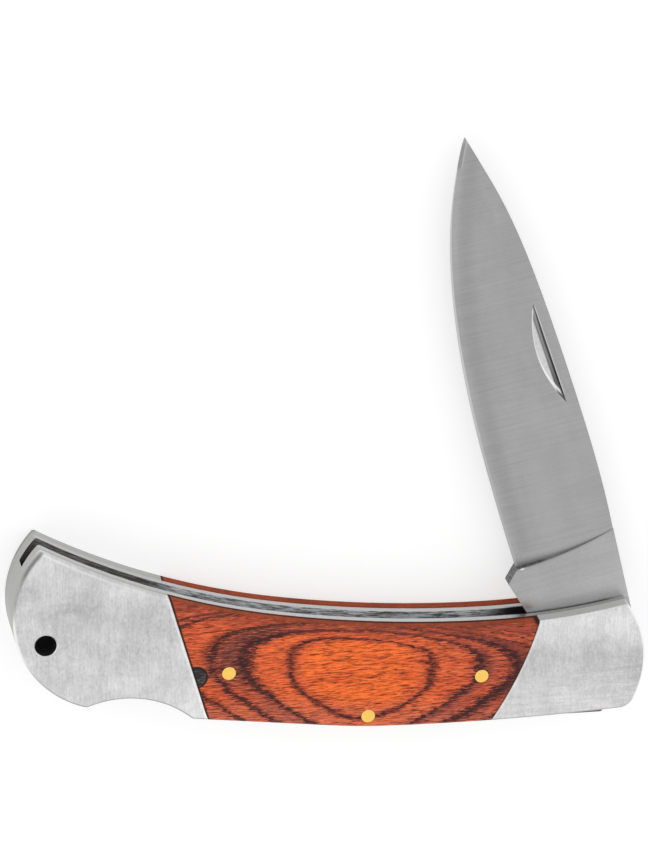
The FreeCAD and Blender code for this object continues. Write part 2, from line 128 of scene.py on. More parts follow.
class Finish:
    """The nodes of a material or a world, in the millimetres of the object."""

    def __init__(self, owner):
        self.owner = owner
        owner.use_nodes = True
        self.tree = owner.node_tree
        self.tree.nodes.clear()

    def node(self, kind, settings=None, values=None, output=0):
        """Adds a node: its settings first, then the values or links of its sockets."""
        node = self.tree.nodes.new(f"ShaderNode{kind}")
        for name, value in (settings or {}).items():
            if name == "stops":
                self.set_stops(node.color_ramp, value)
            else:
                setattr(node, name, value)
        for name, value in (values or {}).items():
            if isinstance(value, Shade):
                self.tree.links.new(value.socket, node.inputs[name])
            else:
                node.inputs[name].default_value = value
        return Shade(self, node.outputs[output]) if node.outputs else None

    def set_stops(self, ramp, stops):
        for number, (place, colour) in enumerate(stops):
            element = ramp.elements[number] if number < 2 else ramp.elements.new(place)
            element.position = place
            element.color = (*colour, 1.0)

    def place(self, turn=0.0):
        """Object coordinates in millimetres, turned about the Z axis."""
        spot = self.node("TexCoord", output="Object")
        return self.node("Mapping", None, {
            "Vector": spot, "Rotation": (0, 0, turn), "Scale": (PER_METRE,) * 3})

    def facing(self, turn=0.0):
        """The surface's direction, turned as the place is."""
        direction = self.node("TexCoord", output="Normal")
        return self.parts(self.node("Mapping", None, {
            "Vector": direction, "Rotation": (0, 0, turn)}))

    def parts(self, vector):
        return [self.node("SeparateXYZ", None, {0: vector}, axis) for axis in range(3)]

    def noise(self, place, stretch, detail=2.0, roughness=0.5, warp=0.0, turn=0.0):
        """Noise from 0 to 1, with its cells per millimetre along each axis."""
        spread = self.node("Mapping", None, {
            "Vector": place, "Rotation": (0, 0, turn), "Scale": stretch})
        return self.node("TexNoise", None, {
            "Vector": spread, "Scale": 1.0, "Detail": detail, "Roughness": roughness,
            "Distortion": warp})

    def step(self, value, low, high):
        """0 below low, 1 above high, smooth between."""
        return self.node("MapRange", {"interpolation_type": "SMOOTHSTEP"}, {
            "Value": value, "From Min": low, "From Max": high})

    def hump(self, value, centre, half):
        """1 at the centre, falling to 0 at half a width from it."""
        return 1.0 - self.step(abs(value - centre), 0.0, half)

    def away(self, along, across, point):
        """Distance from an upright axis through a point."""
        spot = self.node("CombineXYZ", None, {0: along, 1: across})
        return self.node("VectorMath", {"operation": "DISTANCE"}, {0: spot, 1: (*point, 0.0)}, 1)

    def mix(self, factor, first, second):
        values = {0: factor}
        for index, colour in ((6, first), (7, second)):
            values[index] = colour if isinstance(colour, Shade) else (*colour, 1.0)
        return self.node("Mix", {"data_type": "RGBA"}, values, 2)

    def shaded(self, colour, factor):
        """A colour times a number."""
        return self.node("VectorMath", {"operation": "SCALE"}, {0: colour, "Scale": factor})

    def seen(self):
        """1 where the eye sees the surface directly or in a reflection."""
        rays = [self.node("LightPath", output=f"Is {name} Ray")
                for name in ("Camera", "Glossy", "Transmission")]
        return (rays[0] + rays[1] + rays[2]).at_most(1.0)

    def surface(self, height=None, relief=0.0, **values):
        """The shader of the whole surface, and its relief from a height in millimetres."""
        if height is not None:
            values["Normal"] = self.node("Bump", None, {
                "Strength": 1.0, "Distance": relief * MILLIMETRE, "Height": height})
        shader = self.node("BsdfPrincipled", None, {
            name.replace("_", " "): value for name, value in values.items()})
        self.node("OutputMaterial", None, {"Surface": shader})
        return self.owner

    def backdrop(self, colour):
        """The even light of a world."""
        shader = self.node("Background", None, {"Color": colour, "Strength": 1.0})
        self.node("OutputWorld", None, {"Surface": shader})
        return self.owner


def new_finish(name):
    return Finish(bpy.data.materials.new(name))


# Settings

class KnifeSteelSettings(bpy.types.PropertyGroup):
    """Tones of the steel pieces."""

    blade: FloatVectorProperty(
        name="Blade", description="Brushed face of the blade",
        subtype="COLOR", default=grey(164))
    bolster: FloatVectorProperty(
        name="Bolsters", description="Brushed face of a bolster",
        subtype="COLOR", default=grey(210))
    wall: FloatVectorProperty(
        name="Walls", description="Narrow side walls of the bolsters",
        subtype="COLOR", default=tone(176, 176, 175))
    liner: FloatVectorProperty(
        name="Liners", description="Edges of the liners",
        subtype="COLOR", default=grey(192))
    lock: FloatVectorProperty(
        name="Lock", description="Lock bar, lock spring and butt spacer",
        subtype="COLOR", default=tone(120, 108, 102))
    roughness: FloatProperty(
        name="Roughness", description="Roughness of the brushed faces",
        subtype="FACTOR", default=0.38, min=0.0, max=1.0)


class KnifeWoodSettings(bpy.types.PropertyGroup):
    """Colours of the laminated wood scales."""

    core: FloatVectorProperty(
        name="Core", description="Bright wood inside the first ring",
        subtype="COLOR", default=tone(250, 112, 50))
    band: FloatVectorProperty(
        name="Band", description="Red-brown wood between the rings",
        subtype="COLOR", default=tone(188, 84, 62))
    ring: FloatVectorProperty(
        name="Ring", description="Dark rings",
        subtype="COLOR", default=tone(50, 26, 30))
    knot: FloatVectorProperty(
        name="Knot", description="Dark plug beside the rear seam",
        subtype="COLOR", default=tone(44, 40, 42))
    side: FloatVectorProperty(
        name="Side", description="Narrow side walls of a scale",
        subtype="COLOR", default=tone(190, 90, 52))
    centre: FloatVectorProperty(
        name="Centre", description="Middle of the rings on the face of a scale",
        subtype="TRANSLATION", unit="LENGTH", size=2, default=(-0.04222, 0.00192))


class KnifePinSettings(bpy.types.PropertyGroup):
    """Brass pins."""

    brass: FloatVectorProperty(
        name="Brass", description="Head of a pin",
        subtype="COLOR", default=tone(250, 204, 104))
    rim: FloatProperty(
        name="Rim", description="Width of the rim round a pin's head",
        subtype="DISTANCE", unit="LENGTH", default=0.00016)


class KnifeStageSettings(bpy.types.PropertyGroup):
    """Floor, light and camera."""

    floor: FloatVectorProperty(
        name="Floor", description="Pale floor",
        subtype="COLOR", default=(0.56, 0.56, 0.56))
    floor_side: FloatProperty(
        name="Floor Side", description="Length of a side of the floor",
        subtype="DISTANCE", unit="LENGTH", default=8.0)
    floor_glow: FloatProperty(
        name="Floor Glow", description="Light of the floor itself, towards the eye", default=0.56)
    sky: FloatProperty(
        name="Sky", description="Strength of the even light from all round", default=0.8)
    key: FloatProperty(
        name="Key", description="Power of the large soft light overhead",
        subtype="POWER", unit="POWER", default=2.0)
    side: FloatProperty(
        name="Side", description="Power of the soft light on the right",
        subtype="POWER", unit="POWER", default=0.5)
    lens: FloatProperty(
        name="Lens", description="Focal length",
        subtype="DISTANCE_CAMERA", unit="CAMERA", default=194.3)
    target: FloatVectorProperty(
        name="Target", description="Point in the middle of the picture",
        subtype="TRANSLATION", unit="LENGTH", default=(-0.04758, 0.04517, 0.0056))
    azimuth: FloatProperty(
        name="Azimuth", description="Camera to the left of the handle's face",
        subtype="ANGLE", unit="ROTATION", default=math.radians(11.0))
    elevation: FloatProperty(
        name="Elevation", description="Camera towards the slot side",
        subtype="ANGLE", unit="ROTATION", default=math.radians(21.8))
    distance: FloatProperty(
        name="Distance", description="Camera to target",
        subtype="DISTANCE", unit="LENGTH", default=0.8)


SETTINGS = {
    "knife_steel": KnifeSteelSettings,
    "knife_wood": KnifeWoodSettings,
    "knife_pins": KnifePinSettings,
    "knife_stage": KnifeStageSettings,
}


def dress(names, material):
    """Puts a finish in the slots of frame nodes."""
    for name in names:
        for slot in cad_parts[name].material_slots:
            slot.material = material


# Lines of the handle, in millimetres

MID_LEVEL = 5.6


def slot_line(along):
    """Height of the slot's edge."""
    return 9.53 + 0.0903 * along + 0.00275 * along * along


def rear_line(across):
    """Seam between the rear bolster and the scale."""
    return -68.3 - (across + 8.2) * 0.2762


def front_line(across):
    """Seam between the scale and the front bolster."""
    share = (across + 12.5) / 24.0
    return -20.83 + 11.4 * share + 5.9 * share * (1.0 - share)


def butt_line(across):
    """Edge of the butt below its upper corner."""
    below_corner = 28.6 - across
    return -97.81 - 0.968 * below_corner + 0.0536 * below_corner * below_corner


# Blade, in millimetres along and across the fully open blade

BLADE_TURN = math.radians(103.1)
SPINE = -8.97
CHOIL = 9.2
BELLY = 48.0
BELLY_EDGE = 10.47
PLUNGE_SPINE = 22.2
PLUNGE_LEAN = 2.4
PLUNGE_BOW = 0.7
TIP_GRIND = (93.8, 95.0)
NICK_MIDDLE = 58.2
NICK_HALF_LENGTH = 9.3
NICK_WIDTH = 2.5
NICK_WALL = -4.875
NICK_SLOPE = 0.0963


def blade_steel(settings):
    finish = new_finish("blade_satin_steel")
    place = finish.place(-BLADE_TURN)
    along, across, _ = finish.parts(place)
    facing_tip, facing_edge, facing_up = finish.facing(-BLADE_TURN)
    flat = finish.step(abs(facing_up), 0.35, 0.6)
    ground = finish.step(along, 20.5, 23.0)

    # Fine lines across the blade, and broad soft bands along its edge
    fine = finish.noise(place, (7.0, 0.09, 0.3), 4.0, 0.7)
    broad = finish.noise(place, (1.6, 0.03, 0.3), 2.0, 0.5)
    cloud = finish.noise(place, (0.07, 0.16, 0.1), 3.0, 0.6)
    speck = finish.noise(place, (3.5, 3.5, 3.5), 3.0, 0.7)
    edge = (BELLY_EDGE - 0.0015 * (BELLY - along).at_least(0.0) ** 2.0
            - 0.000396 * (along - BELLY).at_least(0.0) ** 2.55)
    from_edge = edge - across
    pale_strip = 1.0 - finish.step(from_edge, 0.7, 1.6)
    dark_strip = finish.hump(from_edge, 2.6, 2.2)
    near_tip = finish.step(along, 80.0, 92.0)
    grain = 1.0 + (0.3 + 0.1 * ground - 0.15 * near_tip) * (fine - 0.5) + 0.16 * (broad - 0.5)
    grain = grain + 0.3 * (cloud - 0.5) + (0.3 - 0.12 * ground + 0.1 * near_tip) * (speck - 0.5)
    # Painted light: the blade is lightened towards the handle, where the handle's reflection
    # darkens it
    painted_lift_near_handle = 1.0 - finish.step(along, 8.0, 18.0)
    bands = 1.0 + ground * (0.06 * pale_strip - 0.2 * dark_strip * cloud)
    bands = bands + 0.09 * (1.0 - ground) + 0.22 * painted_lift_near_handle

    # Painted shade in the hollow where the grind begins, painted light on the plunge wall, and a
    # painted highlight at the plunge's lower end
    share = ((across - SPINE) / (CHOIL - SPINE)).at_least(0.0).at_most(1.0)
    plunge = PLUNGE_SPINE - PLUNGE_LEAN * share - 4.0 * PLUNGE_BOW * share * (1.0 - share)
    past = along - plunge
    reach = 0.5 + 2.1 * share
    crease = (1.0 - finish.step(past / reach, 0.0, 1.0)) * finish.step(past, -0.5, -0.1)
    hollow = crease * (0.1 + 0.14 * share) * flat
    lifted = 0.5 * finish.step(facing_tip, 0.06, 0.3) * flat
    glint = finish.hump(past, -0.15, 0.3) * finish.hump(share, 0.95, 0.04) * flat

    # Sharpened bevel, re-ground tip, and nail nick with painted shade in its floor and at its deep
    # end, and painted highlights on its rim and upper lip
    bevel = finish.step(facing_edge, 0.16, 0.24) * flat
    bevel = bevel * (0.35 + 0.65 * finish.step(along, 30.0, 60.0))
    at_tip = finish.step(along, *TIP_GRIND)
    tip = at_tip * (1.0 - finish.step(from_edge, 0.68, 0.8))
    tip_line = at_tip * finish.hump(from_edge, 0.85, 0.2)
    nick_floor = finish.step(-facing_edge, 0.08, 0.14) * flat
    nick_wall = finish.step(facing_edge, 0.5, 0.7) * finish.step(along, 40.0, 42.0)
    from_wall = across - NICK_WALL - NICK_SLOPE * (along - NICK_MIDDLE)
    from_middle = (along - NICK_MIDDLE) / NICK_HALF_LENGTH
    nick_rim = NICK_WIDTH * (1.0 - from_middle * from_middle)
    rim_line = finish.hump(from_wall - nick_rim, -0.2, 0.4) * finish.step(from_wall, 0.2, 0.5)
    lip = finish.hump(from_wall, -0.12, 0.13) * finish.step(nick_rim, 0.2, 0.6) * flat
    nick_shade = 1.0 - finish.step(from_wall, 0.75, 1.1)
    nick_lines = finish.hump(from_wall, 0.12, 0.16).at_least(finish.hump(from_wall, 0.72, 0.2))
    nick_end = 1.0 - finish.step(along, 50.5, 58.0)

    colour = finish.shaded(tuple(settings.blade), grain * bands * (1.0 - hollow + lifted))
    colour = finish.mix(0.75 * bevel, colour, grey(206))
    colour = finish.mix(0.6 * tip, colour, grey(136))
    colour = finish.mix(0.5 * tip_line, colour, grey(196))
    # Painted highlight at the lower end of the plunge
    colour = finish.mix(0.9 * glint, colour, grey(244))
    # Nail nick: painted shade in its floor and at its deep end, painted highlights on its rim and
    # upper lip
    pale = finish.shaded(grey(206), 1.0 + 0.5 * (fine - 0.5) + 0.5 * (speck - 0.5))
    sunk = finish.mix(nick_end, grey(140), grey(70))
    pale = finish.mix(0.9 * nick_shade, pale, sunk)
    pale = finish.mix(0.45 * nick_lines, pale, grey(70))
    pale = finish.mix(0.85 * rim_line, pale, grey(246))
    colour = finish.mix(nick_floor, colour, pale)
    colour = finish.mix(0.6 * lip, colour, grey(226))
    pitted = finish.noise(place, (1.4, 5.0, 3.0), 3.0, 0.7)
    kick = finish.mix(finish.step(pitted, 0.4, 0.62), grey(66), grey(134))
    spine = finish.shaded(grey(150), 1.0 + 0.5 * (fine - 0.5) + 0.2 * (speck - 0.5))
    at_kick = (1.0 - finish.step(along, 20.0, 22.0)) * finish.step(across, 3.0, 5.0)
    colour = finish.mix(1.0 - flat, colour, finish.mix(at_kick, spine, kick))
    colour = finish.mix(nick_wall, colour, finish.mix(nick_end, grey(136), grey(44)))
    rough = settings.roughness + 0.12 * (fine - 0.5) - 0.08 * nick_floor
    metal = 1.0 - (0.2 + 0.55 * share) * crease
    return finish.surface(fine, 0.004, Base_Color=colour, Metallic=metal, Roughness=rough)


class KNIFE_OT_finish_blade(bpy.types.Operator):
    """Give the blade its cross-brushed steel"""

    bl_idname = "knife.finish_blade"
    bl_label = "Finish Blade"

    def execute(self, context):
        dress(["blade"], blade_steel(context.scene.knife_steel))
        return {"FINISHED"}


# Bolsters

LANYARD = (-97.2, 11.6)
LANYARD_RADIUS = 1.9
# Painted shade on the wall of the lanyard hole
BORE_SHADE = grey(60)

# Short scratches on the rear bolsters: a point, a lean and a half-length
SCRATCHES = (((-79.4, 12.2), -0.3, 1.6), ((-80.9, 10.0), 0.5, 2.2), ((-74.6, 1.6), 0.8, 2.4))


def bore(finish, along, across, face):
    """1 on the wall of the lanyard hole."""
    out = finish.away(along, across, LANYARD)
    return (1.0 - finish.step(out, LANYARD_RADIUS + 0.06, LANYARD_RADIUS + 0.1)) * (1.0 - face)


def butt(finish, across, facing_ahead):
    """1 on walls that face the butt, and how bright the butt is at each height."""
    to_butt = finish.step(-facing_ahead, 0.3, 0.6)
    return to_butt, 1.0 - 0.1 * finish.hump(across, 20.0, 8.0)


def bolster_steel(settings):
    finish = new_finish("bolster_satin_steel")
    place = finish.place()
    along, across, level = finish.parts(place)
    facing_ahead, facing_slot, facing_up = finish.facing()
    face = finish.step(abs(facing_up), 0.3, 0.6)
    front = finish.step(along, -40.0, -30.0)

    # Upright brushing, slanting low on the front bolsters, with soft stains, a painted shade
    # across the middle of the front bolsters and painted light towards their top
    fine = finish.noise(place, (5.0, 0.4, 0.5), 4.0, 0.7)
    slant = finish.noise(place, (0.35, 4.5, 0.5), 4.0, 0.7, turn=math.radians(10.0))
    broad = finish.noise(place, (1.2, 0.15, 0.3), 3.0, 0.6)
    cloud = finish.noise(place, (0.13, 0.16, 0.15), 4.0, 0.6, 0.3)
    speck = finish.noise(place, (2.4, 1.6, 1.0), 3.0, 0.7)
    lower = front * (1.0 - finish.step(across - 0.25 * along, -3.0, 3.0))
    brush = fine * (1.0 - 0.85 * lower) + slant * (0.85 * lower)
    # Painted shade across the middle of the front bolsters
    middle = finish.hump(across + 0.1 * along, -0.5, 6.0) * front
    drawn = finish.noise(place, (0.06, 1.5, 0.3), 3.0, 0.6, 0.5, math.radians(9.0))
    shine = 1.0 + 0.55 * (brush - 0.5) + 0.28 * (broad - 0.5)
    shine = shine + 0.75 * (cloud - 0.5) + 0.5 * (speck - 0.5)
    shine = shine - 0.15 * middle + 0.3 * lower * (drawn - 0.5)
    # Painted light towards the top of the front bolsters
    shine = shine + 0.07 * front * finish.step(across, 3.5, 6.0)

    # Rear bolsters: a soft shade along the slot, a brighter low corner at the seam, scratches
    below_slot = slot_line(along) - across
    nearer = 0.14 * finish.hump(below_slot, 5.0, 5.0)
    deeper = 0.11 * finish.hump(below_slot, 9.5, 7.0)
    deeper = deeper * (1.0 - 0.6 * finish.step(along, -90.0, -78.0))
    foot = finish.step(along, -79.0, -71.5) * (1.0 - finish.step(across, -1.0, 6.0))
    shine = shine + (0.2 * foot - nearer - deeper) * (1.0 - front)
    for spot, lean, half in SCRATCHES:
        aside = along - spot[0] - lean * (across - spot[1])
        shine = shine - 0.14 * finish.hump(aside, 0.0, 0.22) * finish.hump(across, spot[1], half)

    # Painted highlight: a thin bright line beside each seam
    edge_glint = finish.hump(rear_line(across) - along, 0.25, 0.4) * (1.0 - front)
    edge_glint = edge_glint + 0.5 * finish.hump(along - front_line(across), 0.25, 0.4) * front
    satin = finish.shaded(tuple(settings.bolster), shine + 0.25 * edge_glint)

    # Walls: the front walls are painted lighter, the rear rim gets a painted highlight as bright
    # as the face, the butt is a little darker in its upper part
    ruled = finish.noise(place, (0.15, 0.15, 5.0), 3.0, 0.6)
    wall = finish.shaded(tuple(settings.wall), 1.04 + 0.16 * (ruled - 0.5) + 0.6 * front)
    to_butt, butt_shade = butt(finish, across, facing_ahead)
    wall = finish.shaded(wall, 1.0 - to_butt + to_butt * butt_shade)
    rim = finish.step(facing_slot, 0.5, 0.8) * (1.0 - front) * finish.step(level, 9.0, 9.5)
    wall = finish.mix(0.9 * rim, wall, satin)
    colour = finish.mix(face, wall, satin)

    # Narrow bevel round the faces: painted highlights low on the butt and at the nose, painted
    # shade high on the butt and on the bevels that face away from the slot
    bevel = finish.hump(abs(facing_up), 0.72, 0.22)
    low_butt = 1.0 - finish.step(across, 15.0, 20.0)
    bright = bevel * (to_butt * low_butt).at_least(finish.step(facing_ahead, 0.2, 0.5))
    colour = finish.mix(0.8 * bright, colour, grey(248))
    colour = finish.mix(0.5 * bevel * to_butt * (1.0 - low_butt), colour, grey(136))
    colour = finish.mix(0.55 * bevel * finish.step(-facing_slot, 0.2, 0.5), colour, grey(112))

    # Painted shade: a dark line along the upper edge of the butt, and on the wall of the lanyard
    # hole
    butt_edge_shade = finish.hump(along - butt_line(across), 0.1, 0.8) * finish.step(across, 22.5, 25.5)
    butt_edge_shade = butt_edge_shade * finish.step(abs(level - MID_LEVEL), 4.0, 5.2)
    colour = finish.mix(0.7 * butt_edge_shade, colour, grey(104))
    hole = bore(finish, along, across, face)
    colour = finish.mix(hole, colour, BORE_SHADE)
    rough = settings.roughness + 0.1 * (brush - 0.5) + 0.06 * (1.0 - face) + 0.5 * hole
    metal = 1.0 - 0.5 * front * (1.0 - face)
    return finish.surface(brush, 0.003, Base_Color=colour, Metallic=metal, Roughness=rough)


class KNIFE_OT_finish_bolsters(bpy.types.Operator):
    """Give the four bolsters their brushed steel"""

    bl_idname = "knife.finish_bolsters"
    bl_label = "Finish Bolsters"

    def execute(self, context):
        dress(BOLSTERS, bolster_steel(context.scene.knife_steel))
        return {"FINISHED"}


# Liners

def liner_steel(settings):
    finish = new_finish("liner_ground_steel")
    place = finish.place()
    along, across, level = finish.parts(place)
    facing_ahead, _, facing_up = finish.facing()
    inside = finish.step(abs(facing_up), 0.5, 0.9)

    # Inner faces: streaks along the slot as painted reflections, with painted shade in the shelter
    # of the bolsters
    flow = finish.node("CombineXYZ", None, {0: along, 1: across - slot_line(along), 2: level})
    streak = finish.noise(flow, (0.5, 5.0, 0.4), 4.0, 0.65, 0.3, math.radians(3.0))
    fine = finish.noise(place, (6.0, 6.0, 0.6), 2.0, 0.5)
    smear = finish.noise(flow, (0.16, 0.7, 0.4), 3.0, 0.6, 0.4)
    slot_streaks = finish.mix(finish.step(streak, 0.36, 0.62), tone(96, 100, 102), tone(240, 242, 244))
    slot_streaks = finish.mix(0.7 * finish.step(smear, 0.54, 0.66), slot_streaks, tone(60, 60, 62))
    rear_slot_streaks = finish.mix(finish.step(streak, 0.4, 0.62), tone(84, 82, 82), tone(150, 148, 146))
    slot_streaks = finish.mix(finish.step(along, -80.0, -73.0), rear_slot_streaks, slot_streaks)
    slot_streaks = finish.mix(1.0 - finish.step(along, -99.5, -95.5), slot_streaks, tone(72, 60, 58))
    slot_streaks = finish.mix(finish.step(along + 8.0 * streak, -16.5, -9.5), slot_streaks, grey(26))

    # Edges: pale beside the wood, greyer beside the bolsters
    beside_wood = finish.step(along, -78.0, -74.0) * (1.0 - finish.step(along, -16.0, -10.0))
    paleness = 0.98 + 0.08 * beside_wood + 0.3 * (fine - 0.5)
    edge = finish.shaded(tuple(settings.liner), paleness)
    # Painted shade: a dark line where the blade meets the liners beside the front bolsters
    contact = finish.step(along, -16.0, -13.0) * (1.0 - finish.step(along, 2.0, 5.0))
    contact = contact * (1.0 - finish.step(abs(level - MID_LEVEL), 1.7, 1.95))
    edge = finish.mix(0.85 * contact, edge, tone(52, 50, 50))
    to_butt, butt_shade = butt(finish, across, facing_ahead)
    edge = finish.mix(to_butt, edge, finish.shaded(tuple(settings.wall), butt_shade))
    colour = finish.mix(inside, edge, slot_streaks)
    # Painted shade on the wall of the lanyard hole
    hole = bore(finish, along, across, inside)
    colour = finish.mix(hole, colour, BORE_SHADE)
    return finish.surface(fine, 0.003, Base_Color=colour, Metallic=1.0 - 0.9 * inside,
                          Roughness=0.36 + 0.12 * (streak - 0.5) + 0.2 * inside + 0.5 * hole)


class KNIFE_OT_finish_liners(bpy.types.Operator):
    """Give the liners their ground edges and streaky inner faces, with painted reflections and
    shade
    """

    bl_idname = "knife.finish_liners"
    bl_label = "Finish Liners"

    def execute(self, context):
        dress(LINERS, liner_steel(context.scene.knife_steel))
        return {"FINISHED"}


# Lock bar, lock spring, butt spacer and hidden pins

def lock_steel(settings):
    finish = new_finish("lock_plain_steel")
    place = finish.place()
    along, across, _ = finish.parts(place)
    facing_ahead, _, facing_up = finish.facing()
    face = finish.step(abs(facing_up), 0.5, 0.9)
    fine = finish.noise(place, (0.5, 5.0, 5.0), 3.0, 0.6)
    stain = finish.noise(place, (0.2, 0.3, 0.6), 3.0, 0.6)
    colour = finish.mix(finish.step(stain, 0.4, 0.7), tuple(settings.lock), tone(92, 78, 72))
    to_butt, butt_shade = butt(finish, across, facing_ahead)
    to_butt = to_butt * (1.0 - finish.step(along, -92.0, -90.0))
    colour = finish.mix(to_butt, colour, finish.shaded(tuple(settings.wall), butt_shade))
    colour = finish.shaded(colour, 1.0 + 0.2 * (fine - 0.5))
    # Painted shade on the wall of the lanyard hole
    hole = bore(finish, along, across, face)
    colour = finish.mix(hole, colour, BORE_SHADE)
    return finish.surface(fine, 0.004, Base_Color=colour, Metallic=1.0,
                          Roughness=0.38 + 0.16 * (fine - 0.5) + 0.5 * hole)


class KNIFE_OT_finish_lock(bpy.types.Operator):
    """Give the lock pieces and the butt spacer their plain ground steel"""

    bl_idname = "knife.finish_lock"
    bl_label = "Finish Lock"

    def execute(self, context):
        dress(LOCK_PIECES, lock_steel(context.scene.knife_steel))
        return {"FINISHED"}


# Scales

# Sizes of the six dark rings, as shares of the first
RINGS = (1.0, 1.66, 2.14, 2.6, 3.05, 3.5)
PLUG = (-71.2, 3.4)
PLUG_RADIUS = 2.0
# Painted shade in the gap at the scale's upper front corner
CORNER_GAP = (-10.4, 8.8)


def scale_wood(settings):
    finish = new_finish("scale_laminated_wood")
    place = finish.place()
    along, across, level = finish.parts(place)
    _, _, facing_up = finish.facing()
    face = finish.step(abs(facing_up), 0.3, 0.6)

    # Rings: long ovals, flat towards the slot and drawn to a point towards the back
    middle = [value / MILLIMETRE for value in settings.centre]
    ragged = finish.noise(place, (0.7, 1.8, 0.5), 3.0, 0.65)
    frayed = finish.noise(place, (0.45, 6.5, 1.0), 3.0, 0.65)
    run = along - middle[0] + 4.0 * (frayed - 0.5) + 2.4 * (ragged - 0.5)
    rise = across - middle[1] + 0.091 * run
    ahead = finish.step(run, -1.0, 1.0)
    length = (run * run + 3.0) ** 0.5 / (12.33 + 0.68 * ahead)
    upper = rise.at_least(0.0) / (6.39 - 0.06 * run)
    depth = (-rise).at_least(0.0)
    above = (length ** 2.14 + upper ** 4.51) ** (1.0 / 2.14)
    rounder = (length ** 1.857 + (1.088 * upper) ** 3.377) ** (1.0 / 1.857)
    corner = finish.step(above, 1.05, 1.45) * (1.0 - ahead)
    above = above * (1.0 - corner) + rounder * corner
    outer = length + (depth / 10.09) ** 1.36
    inner = (length ** 1.5 + (depth / 9.0) ** 1.8) ** (1.0 / 1.5)
    spread = finish.step(inner, 1.0, 1.5)
    over = finish.step(rise, -0.01, 0.01)
    rings = above * over + (inner * (1.0 - spread) + outer * spread) * (1.0 - over)
    sway = finish.noise(place, (0.12, 0.2, 0.1), 2.0, 0.5)
    rings = rings + 0.14 * (sway - 0.5) + 0.1 * (ragged - 0.5)

    # Colours between the rings
    first, second, third, fourth, fifth, sixth = RINGS
    core = tuple(settings.core)
    band = tuple(settings.band)
    glow = tone(234, 104, 58)
    ember = tone(212, 92, 58)
    shifts = (
        (0.0, core), (0.7, core), (0.97, ember), (1.03, glow), (1.45, glow), (second, band),
        (2.08, band), (2.2, glow), (2.5, ember), (4.0, band))
    span = shifts[-1][0]
    stops = [(ring_level / span, colour) for ring_level, colour in shifts]
    figure = finish.node("ValToRGB", {"stops": stops}, {0: rings / span})
    figure = finish.mix(0.6 * finish.step(run, 8.0, 22.0), figure, band)

    # Fine grain, and a dark patch between the rings at the rear
    blush = finish.noise(place, (0.08, 0.35, 0.1), 2.0, 0.5)
    figure = finish.mix(0.5 * finish.step(blush, 0.45, 0.65), figure, tone(206, 80, 46))
    figure = finish.mix(0.3 * finish.step(-rise, 4.0, 9.0), figure, tone(176, 116, 104))
    grain = finish.noise(place, (0.4, 3.4, 0.6), 4.0, 0.65, 0.3)
    pore = finish.noise(place, (0.6, 6.5, 1.5), 3.0, 0.65)
    streak = finish.step(grain, 0.46, 0.64)
    dash = finish.step(pore, 0.52, 0.62)
    light = finish.step(1.0 - pore, 0.5, 0.62)
    figure = finish.mix(0.35 * light, figure, tone(255, 138, 66))
    patch = finish.step(-run, 12.0, 16.0) * finish.hump(rings, 1.9, 0.34)
    patch = patch * finish.step(rise, -4.0, 0.0)
    flecked = finish.mix(light, tone(108, 58, 52), tone(186, 98, 68))
    figure = finish.mix(0.95 * patch, figure, flecked)
    wavy = finish.noise(place, (0.16, 3.2, 0.6), 2.0, 0.55, 0.5)
    hair = 1.0 - finish.step(abs(wavy - 0.5), 0.008, 0.04)
    figure = finish.shaded(figure, 1.24 - 0.5 * streak - 0.56 * dash - 0.6 * hair)

    # Dark rings with ragged strokes, and the stains outside two of them
    stroke = finish.step(finish.noise(place, (0.8, 6.5, 1.0), 3.0, 0.6), 0.3, 0.7)

    def line(ring_level, half):
        return finish.step(stroke - abs(rings - ring_level) / half, -0.2, 0.2)

    def stain(ring_level, reach):
        outside = finish.step(rings, ring_level - 0.02, ring_level)
        return (1.0 - finish.step(rings - ring_level, 0.0, reach)) * outside

    rear = finish.step(-run, 2.0, 14.0)
    front = finish.step(run, 12.0, 22.0)
    high = finish.step(rise, -7.0, -2.0)
    dark = line(first, 0.085).at_least(line(second, 0.12 + 0.08 * rear * high))
    dark = dark.at_least(line(third, 0.13 + 0.08 * front))
    dark = dark.at_least(line(fourth + 0.28 * rear * finish.step(rise, 0.0, 6.0), 0.1))
    dark = dark.at_least(0.9 * line(fifth, 0.09)).at_least(0.85 * line(sixth, 0.09))
    dark = dark * (0.5 + ragged).at_most(1.0)
    soft = stain(second, 0.3).at_least(stain(third, 0.3 + 0.5 * front * high))
    soft = soft * (0.4 + 0.5 * front)
    stained = finish.shaded(tone(108, 52, 48), 1.3 - 0.5 * streak - 0.5 * dash)
    figure = finish.mix(soft, figure, stained)
    figure = finish.mix(0.5 * finish.hump(rings, first, 0.16), figure, tone(150, 58, 40))
    figure = finish.mix(0.95 * dark, figure, tuple(settings.ring))

    # Plug beside the rear seam
    from_plug = finish.away(along, across, PLUG)
    filled = 1.0 - finish.step(from_plug, PLUG_RADIUS, PLUG_RADIUS + 0.2)
    plug = finish.mix(finish.step(ragged, 0.45, 0.7), tuple(settings.knot), tone(98, 84, 82))
    plug = finish.mix(finish.hump(from_plug, PLUG_RADIUS, 0.45), plug, tone(26, 20, 20))
    figure = finish.mix(filled, figure, plug)

